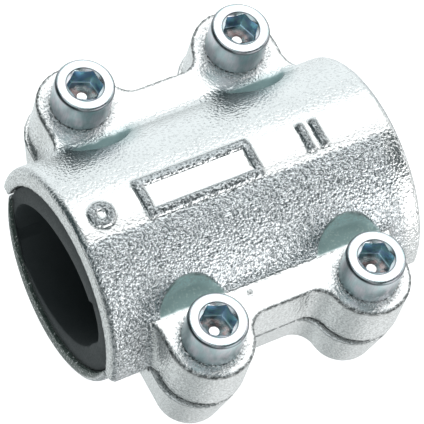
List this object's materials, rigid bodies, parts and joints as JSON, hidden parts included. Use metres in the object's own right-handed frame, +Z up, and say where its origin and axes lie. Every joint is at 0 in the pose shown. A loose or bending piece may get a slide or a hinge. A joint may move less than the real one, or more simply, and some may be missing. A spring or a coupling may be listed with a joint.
{
  "type": "pipe repair clamp",
  "caption": "Two-part cast pipe repair clamp: bolted shell halves squeeze a split rubber sleeve onto a pipe, drawn together by socket cap screws.",
  "frame": {"origin": "centre of the pipe bore, halfway along the clamp", "axes": "+X along the pipe towards the far end, +Y towards the rear pair of screws, +Z up through the screw heads"},
  "size_m": [0.0756, 0.0798, 0.0474],
  "materials": {
    "zinc_cast_upper": "bright zinc plated casting with a fine orange-peel skin",
    "zinc_cast_lower": "zinc plated casting, slightly duller and finer grained",
    "black_rubber": "matt black moulded rubber",
    "zinc_screw": "bright zinc plated turned steel"
  },
  "bodies": {
    "lower_half": {"lower_shell": "zinc_cast_lower", "rubber_sleeve": "black_rubber"},
    "upper_half": {"upper_shell": "zinc_cast_upper"},
    "screw_front_left": {"cap_screw_front_left": "zinc_screw"},
    "screw_front_right": {"cap_screw_front_right": "zinc_screw"},
    "screw_rear_left": {"cap_screw_rear_left": "zinc_screw"},
    "screw_rear_right": {"cap_screw_rear_right": "zinc_screw"}
  },
  "joints": [
    {"name": "clamp_open", "type": "slide", "parent": "lower_half", "child": "upper_half", "axis": [0, 0, 1], "range_m": [0, 0.01]},
    {"name": "turn_front_left", "type": "hinge", "parent": "upper_half", "child": "screw_front_left", "pos_m": [-0.019, -0.03025, 0.0139], "axis": [0, 0, 1], "range_deg": [0, 2881]},
    {"name": "turn_front_right", "type": "hinge", "parent": "upper_half", "child": "screw_front_right", "pos_m": [0.019, -0.03025, 0.0139], "axis": [0, 0, 1], "range_deg": [0, 2881]},
    {"name": "turn_rear_left", "type": "hinge", "parent": "upper_half", "child": "screw_rear_left", "pos_m": [-0.019, 0.03025, 0.0139], "axis": [0, 0, 1], "range_deg": [0, 2881]},
    {"name": "turn_rear_right", "type": "hinge", "parent": "upper_half", "child": "screw_rear_right", "pos_m": [0.019, 0.03025, 0.0139], "axis": [0, 0, 1], "range_deg": [0, 2881]}
  ],
  "couplings": [
    {"joint": "turn_front_left", "follows": "clamp_open", "rad_per_m": 5026.5},
    {"joint": "turn_front_right", "follows": "clamp_open", "rad_per_m": 5026.5},
    {"joint": "turn_rear_left", "follows": "clamp_open", "rad_per_m": 5026.5},
    {"joint": "turn_rear_right", "follows": "clamp_open", "rad_per_m": 5026.5}
  ]
}
